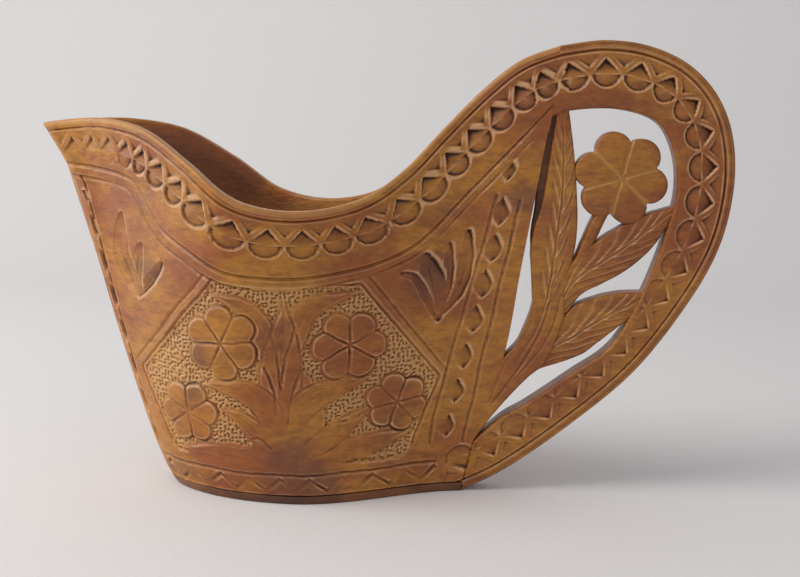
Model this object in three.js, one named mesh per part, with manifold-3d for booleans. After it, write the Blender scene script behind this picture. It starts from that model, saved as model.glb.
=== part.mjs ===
// A carved wooden incense burner: an open boat-shaped bowl with a pointed prow,
// a flat pierced loop handle filled with leaves and a six-petalled flower,
// a thin foot under the bowl, and a brass ember dish that stands loose inside.
// Millimetres, +Z up, +X towards the handle, and the object is symmetric about Y = 0.
import * as THREE from 'three';
import { mergeVertices } from 'three/addons/utils/BufferGeometryUtils.js';
import Module from 'manifold-3d';

const wasm = await Module();
wasm.setup();

// Whole object
const CENTRE_X = -2.37;         // middle of the length, in the drawing's own x
const GAP = 0.3;                // clearance between pieces that touch
const DIAGONAL = GAP * Math.SQRT1_2;
const FOOT_HEIGHT = 2.2;        // thickness of the foot under the bowl
const TOP_Z = 125;              // anything above the handle
const FAR = 100;                // anything past the prow
const HALF_SPAN = 50;           // anything past either side

// Hull of the bowl, from the underside to the height of the rim
const HULL_HEIGHT = 80;         // height at which the flare is complete
const PROW_FOOT_X = -56;        // front of the foot
const PROW_RAKE = 26.5;         // how far the prow leans out over HULL_HEIGHT
const SPOUT_START_Z = 78;       // the spout kicks forward above this height
const SPOUT_REACH = 9.6;        // and by this much at SPOUT_TOP_Z
const SPOUT_TOP_Z = 95;
const BEAM_FOOT_X = -22;        // widest place at the foot
const BEAM_RIM_X = -38;         // widest place at the rim
const HALF_BEAM_FOOT = 21;
const HALF_BEAM_RIM = 31.5;
const NOSE_RADIUS = 3.6;        // rounding of the prow's edge
const TAIL_X = 24;              // where the hull has narrowed to the slab
const SLAB_HALF = 4;            // half the thickness of the handle slab
const HULL_END_X = 60;          // the lofted hull runs on past the stern and is cut there
const FOOT_END_X = 19.5;        // end of the foot at the table
const FOOT_END_TOP_X = 20.2;    // and at its upper face

// Cavity of the bowl
const WALL = 4.2;
const WALL_AT_PROW = 7;
const CAVITY_FLOOR_Z = 7;
const CAVITY_SHOULDER_X = -14;  // the cavity starts to close behind this
const CAVITY_END_RIM_X = 7;
const CAVITY_END_FLOOR_X = -2;
const CAVITY_NOSE = 4;          // length over which the cavity opens behind the prow
const CAVITY_HALF_MIN = 0.3;

// Ember dish
const DISH_X = -25;
const DISH_RADIUS = 15;
const DISH_FOOT_RADIUS = 10.8;
const DISH_BILGE_RADIUS = 13.5;
const DISH_PAN_RADIUS = 9.9;
const DISH_FLARE = 2;
const DISH_HEIGHT = 15;
const DISH_WALL = 1.2;
const DISH_SIDES = 40;

// Flower
const PETALS = 6;
const FLOWER_CENTRE = [58.3, 82.2];
const FLOWER_RADIUS = 11.4;
const FLOWER_NOTCH = 0.176;     // share of the radius lost between two petals
const FIRST_PETAL_DEGREES = 46.5;
const FLOWER_SIDES = 72;

// Half thicknesses of the openwork, each a little thinner than the slab
const TRUNK_HALF = SLAB_HALF - 0.4;
const TALL_LEAF_HALF = SLAB_HALF - 0.6;
const SIDE_LEAF_HALF = SLAB_HALF - 0.8;
const FLOWER_HALF = SLAB_HALF - 0.3;
const STEM_HALF = SLAB_HALF - 1.2;

// Meshing
const PLAN_STEPS = 22;
const LEVELS = 14;
const LEAF_STEPS = 14;

const WOOD = new THREE.MeshStandardMaterial({ color: 0x9a5f2c, roughness: 0.45, metalness: 0 });
const WOOD_FOOT = new THREE.MeshStandardMaterial({ color: 0x7d4a26, roughness: 0.5, metalness: 0 });
const BRASS = new THREE.MeshStandardMaterial({ color: 0xb08d4a, roughness: 0.35, metalness: 1 });

// Side-view outlines, as [x, z] points of smooth curves.
const RIM_LINE = [
  [-92, 93.2], [-81, 94.6], [-70, 94.8], [-58, 92.2], [-46, 84.8], [-34, 76.3],
  [-20, 73.7], [-6, 76.4], [4, 83.4], [13, 93.2], [22.6, 103.2], [32, 110.8], [42, 114.7],
];
const LOOP_OUTSIDE = [
  [42, 114.7], [53, 116.2], [64, 114.9], [74, 110.4], [81.4, 102.6], [85.4, 92.5],
  [86.2, 80], [83.4, 65.5], [76.2, 50.8], [63.5, 33], [47, 17.9], [31, 5.8], [20, 0],
];
const LOOP_INSIDE = [
  [23.2, 13.6], [29.8, 19.7], [36.3, 23.8], [47.4, 31.9], [57.4, 39.7], [64.6, 53.1],
  [70, 69], [72.1, 80], [70.8, 89.4], [66.4, 96.4], [57, 99.3], [46, 98.9], [41.6, 97.4],
];
const STERN_SLOT = [[30.2, 36], [33.8, 58], [36.6, 75], [39.2, 91], [40.4, 97]];
const STERN_FOOT = [[23.1, 14.4], [20.3, FOOT_HEIGHT + GAP]];
const LOOP_CUT = [
  [0, -5], [20.6, -5], [20.8, 2.5], [23.6, 14.6], [23.6, 40], [40.8, 96], [42.4, 116], [0, 130],
];
const TRUNK = [
  [23.8, 15], [27.4, 19.4], [30.4, 23.6], [36.8, 31], [40, 34.2], [45.6, 47.4],
  [43, 49.6], [37.2, 49.4], [34.4, 43], [30.6, 35.4],
];
const STEM = [[46.6, 62.2], [50.6, 60.6], [57.6, 73.6], [54, 75.6]];
const TALL_LEAF = [
  [37.2, 50.2], [36.7, 58], [36.4, 63], [36.9, 68.7], [38.5, 74.3], [39.5, 80], [40.3, 86],
  [41.8, 96.4], [44.8, 96.6], [46, 89], [47.4, 76.5], [47.7, 69], [47.1, 62.6], [44.4, 54], [42.8, 50.2],
];
const MIDDLE_LEAF = { base: [43.6, 50.4], tip: [71.6, 74.6], left: 5.2, right: 5.2, bend: 0.3, blunt: 0.35 };
const LOWER_LEAF = { base: [40.6, 37.4], tip: [64.2, 51.6], left: 5.2, right: 3.4, bend: -0.2, blunt: 0.8 };

// ---------- mesh helpers ----------

function solid(geometry) {
  const bare = geometry.clone();
  bare.deleteAttribute('normal');
  bare.deleteAttribute('uv');
  const merged = mergeVertices(bare, 1e-4);
  return new wasm.Manifold(new wasm.Mesh({
    numProp: 3,
    vertProperties: new Float32Array(merged.attributes.position.array),
    triVerts: new Uint32Array(merged.index.array),
  }));
}

function toGeometry(manifold) {
  const mesh = manifold.getMesh();
  const geometry = new THREE.BufferGeometry();
  geometry.setAttribute('position', new THREE.BufferAttribute(mesh.vertProperties, 3));
  geometry.setIndex(new THREE.BufferAttribute(mesh.triVerts, 1));
  geometry.computeVertexNormals();
  return geometry;
}

function toVectors(points) {
  return points.map(([x, z]) => new THREE.Vector2(x, z));
}

function smooth(points, divisions) {
  return new THREE.SplineCurve(toVectors(points)).getPoints(divisions);
}

// A side-view outline in x and z, given the thickness 2 * half about Y = 0.
function slab(outline, half) {
  const geometry = new THREE.ExtrudeGeometry(new THREE.Shape(outline), {
    depth: 2 * half, bevelEnabled: false, steps: 1,
  });
  geometry.translate(0, 0, -half);
  geometry.rotateX(Math.PI / 2);
  return geometry;
}

function add(group, name, manifold, material) {
  const mesh = new THREE.Mesh(toGeometry(manifold), material);
  mesh.name = name;
  group.add(mesh);
}

// ---------- hull ----------

// 0 at the foot and 1 at the rim, rising fast at first: the bowl's rounded flare.
function flare(z) {
  const h = Math.min(Math.max(z / HULL_HEIGHT, 0), 1);
  return 1 - (1 - h) ** 1.7 * (1 - 0.15 * h);
}

// Front edge of the prow: a raked curve with a forward kick at the spout.
function prowX(z) {
  const rake = Math.min(Math.max(z / HULL_HEIGHT, 0), 1) ** 0.77;
  const kick = Math.max(0, z - SPOUT_START_Z) / (SPOUT_TOP_Z - SPOUT_START_Z);
  return PROW_FOOT_X - PROW_RAKE * rake - SPOUT_REACH * kick ** 1.2;
}

function beamX(z) {
  return THREE.MathUtils.lerp(BEAM_FOOT_X, BEAM_RIM_X, flare(z));
}

function halfBeam(z) {
  return THREE.MathUtils.lerp(HALF_BEAM_FOOT, HALF_BEAM_RIM, flare(z));
}

// Half width of the hull: an oval front that turns into a straight-sided V with height,
// joined to a quarter circle at the prow, and a cosine tail that runs out into the slab.
function hullHalf(x, z) {
  const middle = beamX(z);
  const widest = halfBeam(z);
  if (x > middle) {
    const u = Math.min((x - middle) / (TAIL_X - middle), 1);
    const swell = Math.hypot(widest, NOSE_RADIUS) - SLAB_HALF;
    return SLAB_HALF + swell * (1 + Math.cos(Math.PI * u)) / 2;
  }
  const front = prowX(z);
  const u = Math.min((middle - x) / (middle - front), 1);
  const sharp = flare(z) ** 2;
  const power = THREE.MathUtils.lerp(2, 1.5, sharp);
  const fall = THREE.MathUtils.lerp(0.62, 1.38, sharp);
  const nose = Math.min((x - front) / NOSE_RADIUS, 1);
  const round = NOSE_RADIUS * Math.sqrt(Math.max(0, 1 - (1 - nose) ** 2));
  return Math.hypot(widest * (1 - u ** power) ** fall, round);
}

// Plan outline at one height, from the prow along the near side (-Y) and back along the far side.
function ring(z, front, end, half) {
  const near = [];
  for (let i = 1; i < PLAN_STEPS; i += 1) {
    const u = (1 - Math.cos(Math.PI * (i / PLAN_STEPS))) / 2;
    const x = THREE.MathUtils.lerp(front, end, u);
    near.push([x, half(x, z)]);
  }
  return [
    [front, 0],
    ...near.map(([x, y]) => [x, -y]),
    [end, -half(end, z)],
    [end, half(end, z)],
    ...near.reverse(),
  ];
}

// Closed solid through rings of equal length, one above the other.
function loft(rings, heights) {
  const count = rings[0].length;
  const positions = [];
  const index = [];
  rings.forEach((points, level) => {
    points.forEach(([x, y]) => positions.push(x, y, heights[level]));
  });
  for (let level = 0; level + 1 < rings.length; level += 1) {
    for (let i = 0; i < count; i += 1) {
      const a = level * count + i;
      const b = level * count + ((i + 1) % count);
      index.push(a, b, b + count, a, b + count, a + count);
    }
  }
  const flat = (points) => points.map(([x, y]) => new THREE.Vector2(x, y));
  const top = (rings.length - 1) * count;
  THREE.ShapeUtils.triangulateShape(flat(rings[0]), []).forEach(([a, b, c]) => {
    index.push(a, c, b);
  });
  THREE.ShapeUtils.triangulateShape(flat(rings.at(-1)), []).forEach(([a, b, c]) => {
    index.push(top + a, top + b, top + c);
  });
  const geometry = new THREE.BufferGeometry();
  geometry.setAttribute('position', new THREE.Float32BufferAttribute(positions, 3));
  geometry.setIndex(index);
  return geometry;
}

function levels(from, to, count) {
  return Array.from({ length: count + 1 }, (_, i) => THREE.MathUtils.lerp(from, to, i / count));
}

function hull(from, to) {
  const heights = levels(from, to, LEVELS);
  return solid(loft(heights.map((z) => ring(z, prowX(z), HULL_END_X, hullHalf)), heights));
}

function cavityEnd(z) {
  return THREE.MathUtils.lerp(CAVITY_END_FLOOR_X, CAVITY_END_RIM_X, flare(z));
}

// Half width of the hollow: the hull less its wall, rounded off towards the stern and the prow.
function cavityHalf(x, z) {
  const close = Math.max(0, (x - CAVITY_SHOULDER_X) / (cavityEnd(z) - CAVITY_SHOULDER_X));
  const nose = Math.min(Math.max((x - prowX(z) - WALL_AT_PROW) / CAVITY_NOSE, 0), 1);
  const inside = Math.max(hullHalf(x, z) - WALL, 0);
  const half = inside * Math.sqrt(Math.max(0, 1 - close ** 2)) * Math.sqrt(nose);
  return Math.max(half, CAVITY_HALF_MIN);
}

function cavity() {
  const heights = levels(CAVITY_FLOOR_Z, TOP_Z, LEVELS);
  const rings = heights.map((z) => ring(z, prowX(z) + WALL_AT_PROW, cavityEnd(z), cavityHalf));
  return solid(loft(rings, heights));
}

// ---------- pieces ----------

function bowl() {
  const profile = [
    new THREE.Vector2(-FAR, FOOT_HEIGHT + GAP),
    new THREE.Vector2(-FAR, RIM_LINE[0][1]),
    ...smooth(RIM_LINE, 40),
    ...smooth([...STERN_SLOT].reverse(), 10),
    ...toVectors(STERN_FOOT),
  ];
  const side = solid(slab(profile, HALF_SPAN));
  return hull(0, TOP_Z).intersect(side).subtract(cavity());
}

function foot() {
  const profile = toVectors([
    [-FAR, 0], [FOOT_END_X, 0], [FOOT_END_TOP_X, FOOT_HEIGHT], [-FAR, FOOT_HEIGHT],
  ]);
  return hull(0, 2 * FOOT_HEIGHT).intersect(solid(slab(profile, HALF_SPAN)));
}

function handleLoop() {
  const outline = [...smooth(LOOP_OUTSIDE, 64), ...smooth(LOOP_INSIDE, 52)];
  const cut = solid(slab(toVectors(LOOP_CUT), HALF_SPAN));
  return solid(slab(outline, SLAB_HALF)).subtract(cut);
}

// A leaf's outline from base to tip: half widths on its two sides swell and shrink as sines.
// bend bows the whole leaf sideways, and blunt keeps that share of the width at the base.
function leafOutline({ base, tip, left, right, bend, blunt }) {
  const start = new THREE.Vector2(...base);
  const along = new THREE.Vector2(...tip).sub(start);
  const across = new THREE.Vector2(-along.y, along.x).normalize();
  const edge = (width) => Array.from({ length: LEAF_STEPS + 1 }, (_, i) => {
    const u = i / LEAF_STEPS;
    const kept = blunt * (1 - u);
    const swell = kept + Math.max(Math.sin(Math.PI * u ** 0.9), 0) ** 0.8 * (1 - kept);
    const offset = width * swell + bend * Math.sin(Math.PI * u);
    return start.clone().addScaledVector(along, u).addScaledVector(across, offset);
  });
  return [...edge(-right), ...edge(left).reverse().slice(1)];
}

// Circle scalloped into petals.
function flowerOutline() {
  const centre = new THREE.Vector2(...FLOWER_CENTRE);
  const firstPetal = THREE.MathUtils.degToRad(FIRST_PETAL_DEGREES);
  return Array.from({ length: FLOWER_SIDES }, (_, i) => {
    const angle = 2 * Math.PI * (i / FLOWER_SIDES);
    const lobe = Math.abs(Math.cos(PETALS / 2 * (angle - firstPetal)));
    const radius = FLOWER_RADIUS * (1 - FLOWER_NOTCH * (1 - lobe) ** 1.4);
    return new THREE.Vector2(Math.cos(angle), Math.sin(angle)).multiplyScalar(radius).add(centre);
  });
}

// Grown a little sideways so that what it is cut from keeps its clearance.
function clear(manifold) {
  const shifts = [[GAP, 0], [-GAP, 0], [0, GAP], [0, -GAP]];
  return shifts.reduce(
    (all, [x, z]) => all.add(manifold.translate([x, 0, z])),
    manifold.translate([DIAGONAL, 0, DIAGONAL]).add(manifold.translate([-DIAGONAL, 0, -DIAGONAL])),
  );
}

function emberDish() {
  const floorZ = CAVITY_FLOOR_Z + GAP;
  const profile = [
    [0, 0], [DISH_FOOT_RADIUS, 0], [DISH_BILGE_RADIUS, 2 * DISH_WALL], [DISH_RADIUS, DISH_HEIGHT - 2],
    [DISH_RADIUS + DISH_FLARE, DISH_HEIGHT], [DISH_RADIUS + DISH_FLARE - 0.6, DISH_HEIGHT + 0.9],
    [DISH_RADIUS - DISH_WALL, DISH_HEIGHT - 1.4], [DISH_BILGE_RADIUS - DISH_WALL, 3.2],
    [DISH_PAN_RADIUS, DISH_WALL], [0, DISH_WALL], [0, 0],
  ];
  const dish = new THREE.LatheGeometry(toVectors(profile), DISH_SIDES);
  dish.rotateX(Math.PI / 2);
  dish.translate(DISH_X, 0, floorZ);
  return solid(dish);
}

// ---------- assembly ----------

const burner = new THREE.Group();
burner.position.x = -CENTRE_X;

const loopSolid = handleLoop();
const trunkSolid = solid(slab(toVectors(TRUNK), TRUNK_HALF));
const tallSolid = solid(slab(smooth(TALL_LEAF, 42), TALL_LEAF_HALF))
  .subtract(clear(loopSolid)).subtract(clear(trunkSolid));
const lowerSolid = solid(slab(leafOutline(LOWER_LEAF), SIDE_LEAF_HALF))
  .subtract(clear(loopSolid)).subtract(clear(trunkSolid)).subtract(clear(tallSolid));
const middleSolid = solid(slab(leafOutline(MIDDLE_LEAF), SIDE_LEAF_HALF))
  .subtract(clear(loopSolid)).subtract(clear(trunkSolid)).subtract(clear(tallSolid))
  .subtract(clear(lowerSolid));
const flowerSolid = solid(slab(flowerOutline(), FLOWER_HALF))
  .subtract(clear(tallSolid)).subtract(clear(middleSolid));
const stemSolid = solid(slab(toVectors(STEM), STEM_HALF))
  .subtract(clear(tallSolid)).subtract(clear(middleSolid)).subtract(clear(flowerSolid));

add(burner, 'bowl', bowl(), WOOD);
add(burner, 'base_plate', foot(), WOOD_FOOT);
add(burner, 'handle_loop', loopSolid, WOOD);
add(burner, 'leaf_trunk', trunkSolid, WOOD);
add(burner, 'tall_leaf', tallSolid, WOOD);
add(burner, 'middle_leaf', middleSolid, WOOD);
add(burner, 'lower_leaf', lowerSolid, WOOD);
add(burner, 'flower', flowerSolid, WOOD);
add(burner, 'flower_stem', stemSolid, WOOD);
add(burner, 'ember_dish', emberDish(), BRASS);

export default burner;
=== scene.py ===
"""A carved wooden incense burner: surfaces, finishes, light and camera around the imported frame."""
import math

import bmesh
import bpy
import numpy as np
from mathutils import Matrix, Vector

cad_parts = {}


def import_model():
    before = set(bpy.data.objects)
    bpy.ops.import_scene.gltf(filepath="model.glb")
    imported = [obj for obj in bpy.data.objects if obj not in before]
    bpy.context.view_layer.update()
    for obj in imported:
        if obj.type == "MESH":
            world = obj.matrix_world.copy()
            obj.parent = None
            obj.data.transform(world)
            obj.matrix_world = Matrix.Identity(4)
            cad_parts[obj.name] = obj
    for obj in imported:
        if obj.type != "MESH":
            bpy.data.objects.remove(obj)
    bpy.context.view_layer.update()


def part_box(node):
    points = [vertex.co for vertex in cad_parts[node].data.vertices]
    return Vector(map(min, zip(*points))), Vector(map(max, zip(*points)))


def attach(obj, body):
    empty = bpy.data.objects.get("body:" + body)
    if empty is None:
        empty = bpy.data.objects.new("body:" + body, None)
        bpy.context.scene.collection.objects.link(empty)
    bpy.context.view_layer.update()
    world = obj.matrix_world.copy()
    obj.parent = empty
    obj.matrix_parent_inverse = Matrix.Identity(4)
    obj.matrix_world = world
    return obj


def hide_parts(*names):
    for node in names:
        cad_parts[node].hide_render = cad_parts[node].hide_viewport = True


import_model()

# Shapes are worked out in millimetres in the side view's own x, with z up from the table and the
# near side at negative y. PLACE_X carries them into the frame, whose dish stands over the same point.
MM = 0.001
DISH_X = -25.0
dish_low, dish_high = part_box("ember_dish")
PLACE_X = (dish_low[0] + dish_high[0]) / 2 - DISH_X * MM
DISH_FOOT = dish_low[2] / MM

# Hull of the bowl, with its foot and the gap between two pieces of wood
HULL_HEIGHT, FOOT_HEIGHT, GAP = 80.0, 2.2, 0.3
PROW_FOOT_X, PROW_RAKE, SPOUT_START, SPOUT_REACH, SPOUT_TOP = -56.0, 26.5, 78.0, 9.6, 95.0
BEAM_FOOT_X, BEAM_RIM_X, HALF_BEAM_FOOT, HALF_BEAM_RIM = -22.0, -38.0, 21.0, 31.5
NOSE_RADIUS, TAIL_X, SLAB_HALF = 3.6, 24.0, 4.0
WALL, WALL_AT_PROW, CAVITY_FLOOR = 4.2, 7.0, 7.0
SHOULDER_X, CAVITY_END_RIM, CAVITY_END_FLOOR, CAVITY_NOSE = -14.0, 7.0, -2.0, 9.0
LIP_OUT, LIP_IN = 1.1, 0.9  # rounding of the rim's outer and inner edges
SKIN = 1.2  # how deep the carved side skins are let into the bowl's core
FAR = 9.0  # farther than any cut reaches

# Side-view outlines, x and z of the points of smooth curves
RIM_LINE = [
    (-92, 93.2), (-81, 94.6), (-70, 94.8), (-58, 92.2), (-46, 84.8), (-34, 76.3), (-20, 73.7),
    (-6, 76.4), (4, 83.4), (13, 93.2), (22.6, 103.2), (32, 110.8), (42, 114.7),
]
LOOP_OUTSIDE = [
    (42, 114.7), (53, 116.2), (64, 114.9), (74, 110.4), (81.4, 102.6), (85.4, 92.5), (86.2, 80),
    (83.4, 65.5), (76.2, 50.8), (63.5, 33), (47, 17.9), (31, 5.8), (20, 0),
]
LOOP_INSIDE = [
    (40.4, 97), (46, 98.9), (57, 99.3), (66.4, 96.4), (70.8, 89.4), (72.1, 80), (70, 69),
    (64.6, 53.1), (57.4, 39.7), (47.4, 31.9), (36.3, 23.8), (29.8, 19.7), (23.2, 13.6),
]
STERN_LINE = [
    (20, 0), (20.3, 2.5), (23.1, 14.4), (30.2, 36), (33.8, 58), (36.6, 75), (39.2, 91), (40.4, 97),
    (42, 114.7),
]
LOWER_LINE = [
    (-86, 83.3), (-75.5, 82.4), (-64.3, 80.3), (-59.4, 75.5), (-54.2, 68.5), (-46.8, 64),
    (-37.6, 59.4), (-28.4, 58.0), (-20, 57.6), (-10.4, 58.6), (-1.2, 60.7), (8.5, 65.7),
    (20.3, 78.1), (34.8, 93.6), (42.5, 101.8),
]


# ---------- curves and distances ----------

def spline(points, count):
    """Catmull-Rom curve through the points, as count + 1 places at even steps of its parameter."""
    p = np.asarray(points, float)
    t = np.linspace(0, len(p) - 1, count + 1)
    i = np.minimum(t.astype(int), len(p) - 2)
    w = (t - i)[:, None]
    before, here, there, after = (p[np.clip(i + k, 0, len(p) - 1)] for k in (-1, 0, 1, 2))
    leave, arrive = (there - before) / 2, (after - here) / 2
    cubic = 2 * here - 2 * there + leave + arrive
    square = 3 * there - 3 * here - 2 * leave - arrive
    return cubic * w**3 + square * w**2 + leave * w + here


def run_length(line):
    """Distance travelled along a polyline at each of its points."""
    return np.r_[0, np.cumsum(np.linalg.norm(np.diff(line, axis=0), axis=1))]


def walk(line, count):
    """The polyline sampled again at count + 1 even distances."""
    run = run_length(line)
    at = np.linspace(0, run[-1], count + 1)
    return np.stack([np.interp(at, run, line[:, k]) for k in range(line.shape[1])], -1)


def along(x, z, line):
    """Nearest place on a polyline: its distance, the same signed plus to the left, and how far along."""
    run = run_length(line)
    best = np.full(np.shape(x), np.inf)
    side = np.zeros(np.shape(x))
    place = np.zeros(np.shape(x))
    for k, (a, b) in enumerate(zip(line[:-1], line[1:])):
        step = b - a
        t = np.clip(((x - a[0]) * step[0] + (z - a[1]) * step[1]) / (step @ step), 0, 1)
        ex, ez = x - a[0] - t * step[0], z - a[1] - t * step[1]
        gap = np.hypot(ex, ez)
        closer = gap < best
        best = np.where(closer, gap, best)
        side = np.where(closer, np.sign(step[0] * ez - step[1] * ex) * gap, side)
        place = np.where(closer, run[k] + t * np.hypot(*step), place)
    return best, side, place


def ease(value, low, high):
    """0 below low, 1 above high and a smooth step between."""
    t = np.clip((value - low) / (high - low), 0, 1)
    return t * t * (3 - 2 * t)


def mix(a, b, t):
    """a at t = 0 and b at t = 1, on a straight line between."""
    return a + (b - a) * t


# ---------- hull ----------

def flare(z):
    """0 at the foot, 1 at the rim, rising fast at first."""
    h = np.clip(z / HULL_HEIGHT, 0, 1)
    return 1 - (1 - h) ** 1.7 * (1 - 0.15 * h)


def prow_x(z):
    """Front edge of the prow: raked, with a forward kick at the spout."""
    kick = np.maximum(0, z - SPOUT_START) / (SPOUT_TOP - SPOUT_START)
    return PROW_FOOT_X - PROW_RAKE * np.clip(z / HULL_HEIGHT, 0, 1) ** 0.77 - SPOUT_REACH * kick**1.2


def hull_half(x, z):
    """Half width of the hull. Forward of its widest place it is an oval that becomes a V with height,
    joined to a round nose; aft of it, a cosine tail runs out into the handle's slab."""
    share = flare(z)
    middle = mix(BEAM_FOOT_X, BEAM_RIM_X, share)
    widest = mix(HALF_BEAM_FOOT, HALF_BEAM_RIM, share)
    aft = np.clip((x - middle) / (TAIL_X - middle), 0, 1)
    tail = SLAB_HALF + (np.hypot(widest, NOSE_RADIUS) - SLAB_HALF) * (1 + np.cos(np.pi * aft)) / 2
    front = prow_x(z)
    fore = np.clip((middle - x) / (middle - front), 0, 1)
    fullness, sharpness = mix(2, 1.5, share**2), mix(0.62, 1.38, share**2)
    fall = np.maximum(0, 1 - fore**fullness) ** sharpness
    nose = np.clip((x - front) / NOSE_RADIUS, 0, 1)
    bow = np.hypot(widest * fall, NOSE_RADIUS * np.sqrt(np.maximum(0, 1 - (1 - nose) ** 2)))
    return np.where(x > middle, tail, bow)


def cavity_half(x, z):
    """Half width of the hollow: the hull less its wall, rounded off towards the prow and the stern."""
    end = mix(CAVITY_END_FLOOR, CAVITY_END_RIM, flare(z))
    close = np.clip((x - SHOULDER_X) / (end - SHOULDER_X), 0, 1)
    nose = np.clip((x - prow_x(z) - WALL_AT_PROW) / CAVITY_NOSE, 0, 1)
    inside = np.maximum(hull_half(x, z) - WALL, 0)
    return inside * np.sqrt(1 - close**2) * np.sqrt(nose * (2 - nose))


rim_curve = spline(RIM_LINE, 240)
outside_curve = spline(LOOP_OUTSIDE, 300)
inside_curve = spline(LOOP_INSIDE, 240)
stern_curve = spline(STERN_LINE, 160)
lower_curve = spline(LOWER_LINE, 200)

# The edge that the border follows: the rim, the loop's outside and a tail that carries on past the
# stern. Its true length, with the hull's swell, is counted from where the border starts.
BORDER_START_X, BORDER_TAIL = -90.9, (11, -4.7)
over_prow = slice(60)
silhouette = np.vstack([walk(np.vstack([rim_curve, outside_curve[1:]]), 300), BORDER_TAIL])
silhouette_3d = np.c_[silhouette[:, 0], hull_half(*silhouette.T), silhouette[:, 1]]
silhouette_run, true_run = run_length(silhouette), run_length(silhouette_3d)
silhouette_arc = true_run - np.interp(BORDER_START_X, silhouette[over_prow, 0], true_run[over_prow])


def rim_z(x):
    """Height of the rim."""
    return np.interp(x, rim_curve[:, 0], rim_curve[:, 1])


def split_z(x):
    """Height of the line between the border and the carved sides."""
    return np.interp(x, lower_curve[:, 0], lower_curve[:, 1])


def stern_x(z):
    """Edge between the bowl and the handle."""
    return np.interp(z, stern_curve[:, 1], stern_curve[:, 0])


def rib_x(share, z):
    """Ribs that share out the length between the prow and the stern at every height."""
    return mix(prow_x(z), stern_x(z), share)


def rib_shares(count, z=60.0):
    """Places of the ribs, even along the hull's plan outline at one height."""
    x = np.linspace(prow_x(z), stern_x(z), 4000)
    run = run_length(np.c_[x, hull_half(x, z)])
    even = np.interp(np.linspace(0, run[-1], count), run, x)
    return (even - even[0]) / (even[-1] - even[0])


def rib_height(shares, line_z, low=0.0, high=118.0):
    """Height at which each rib crosses the line z = line_z(x), by bisection."""
    low, high = np.full(shares.shape, low), np.full(shares.shape, high)
    for _ in range(40):
        middle = (low + high) / 2
        under = middle < line_z(rib_x(shares, middle))
        low, high = np.where(under, middle, low), np.where(under, high, middle)
    return (low + high) / 2


# ---------- carving ----------
# A carving function gives heights in millimetres, 0 on the surface and negative where wood is cut away.

# How far along the edge some of the border's motifs stand, and their numbers
MOTIF_AT = [(10.3, 0), (102.7, 12), (169.5, 20), (260, 29), (313.3, 35)]
# Distances in from the edge: the edge line, the tips and valleys of the ribbon, and the straight side
# of the half-moons. Then the half-moons' radius, and the ribbon's half width and slant.
EDGE_LINE, APEX, VALLEY, CHORD, MOON = 2.4, 3.5, 7.5, 8.4, 3.3
BAR, BAR_SLANT = 0.62, 0.7
# Two sets of multipliers that scatter the strokes of the punched ground
SCATTER_ONE, SCATTER_TWO = (127.1, 311.7, 4375.85), (269.5, 183.3, 8357.31)


def cut(distance, half_width, depth):
    """V-shaped cut: full depth on its line, nothing past half_width."""
    return -depth * np.clip(1 - distance / half_width, 0, 1)


def hand_led(x, z):
    """Places moved a fraction of a millimetre, so that long lines wander as a gouge led by hand does."""
    dx = 0.14 * np.sin(0.31 * z + 0.13 * x) + 0.06 * np.sin(1.3 * z - 0.9 * x)
    dz = 0.14 * np.sin(0.37 * x + 0.21 * z) + 0.06 * np.sin(1.5 * x + 0.7 * z)
    return x + dx, z + dz


def pressure(x, z):
    """How hard the tool was pressed, about 0.45 to 1.1, drifting from place to place."""
    return 0.78 + 0.2 * np.sin(0.23 * x + 0.41 * z) + 0.14 * np.sin(0.57 * x - 0.33 * z + 1.3)


def motif_number(arc):
    """Counts the border's motifs along the edge; it is a whole number over each half-moon."""
    places, numbers = np.array(MOTIF_AT, float).T
    inner = np.interp(arc, places, numbers)
    before = (arc - places[0]) / (places[1] - places[0]) * numbers[1]
    after = numbers[-1] + (arc - places[-1]) / (places[-1] - places[-2]) * (numbers[-1] - numbers[-2])
    return np.where(arc < places[0], before, np.where(arc > places[-1], after, inner))


def border(arc, depth):
    """Chip-carved border: a raised zigzag ribbon, sunk triangles above it, and below it a sunk triangle
    over a half-moon at each motif. depth is the distance in from the edge."""
    number = motif_number(arc)
    across = (number - np.round(number)) * 2  # -1 to 1 over one motif
    centre = mix(APEX, VALLEY, np.abs(across))
    reach = (depth - centre) * BAR_SLANT
    strength = mix(0.6, 1.0, ease(arc, 24, 44)) * ease(arc, 3.5, 6.5) * mix(1, 0.6, ease(arc, 236, 262))
    floor_above = 0.15 + 0.85 * np.clip((depth - APEX) / (VALLEY - APEX), 0, 1)
    above = -floor_above * ease(-reach, BAR, BAR + 0.5) * ease(depth, APEX - 0.5, APEX)
    floor_below = 0.08 + 1.5 * np.clip((CHORD - depth) / (CHORD - APEX - 1.2), 0, 1)
    under_chord = ease(depth, CHORD - 0.1, CHORD + 0.1)
    triangle = -floor_below * ease(reach, BAR - 0.05, BAR + 0.45) * (1 - under_chord)
    radius = np.hypot(across / 0.95, np.maximum(depth - CHORD, 0) / MOON)
    moon = -(0.08 + 0.85 * radius**1.6) * (1 - ease(radius, 0.82, 1.0)) * under_chord
    moon = moon * mix(0.15, 1, ease(arc, 24, 36))
    return cut(np.abs(depth - EDGE_LINE), 0.45, 0.5) + strength * (above + triangle + moon)


def scattered(column, row, multipliers):
    """Seemingly random fraction for each pair of whole numbers: what is left of a large sine."""
    across, up, large = multipliers
    return np.modf(np.sin(column * across + row * up) * large)[0] % 1


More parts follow.
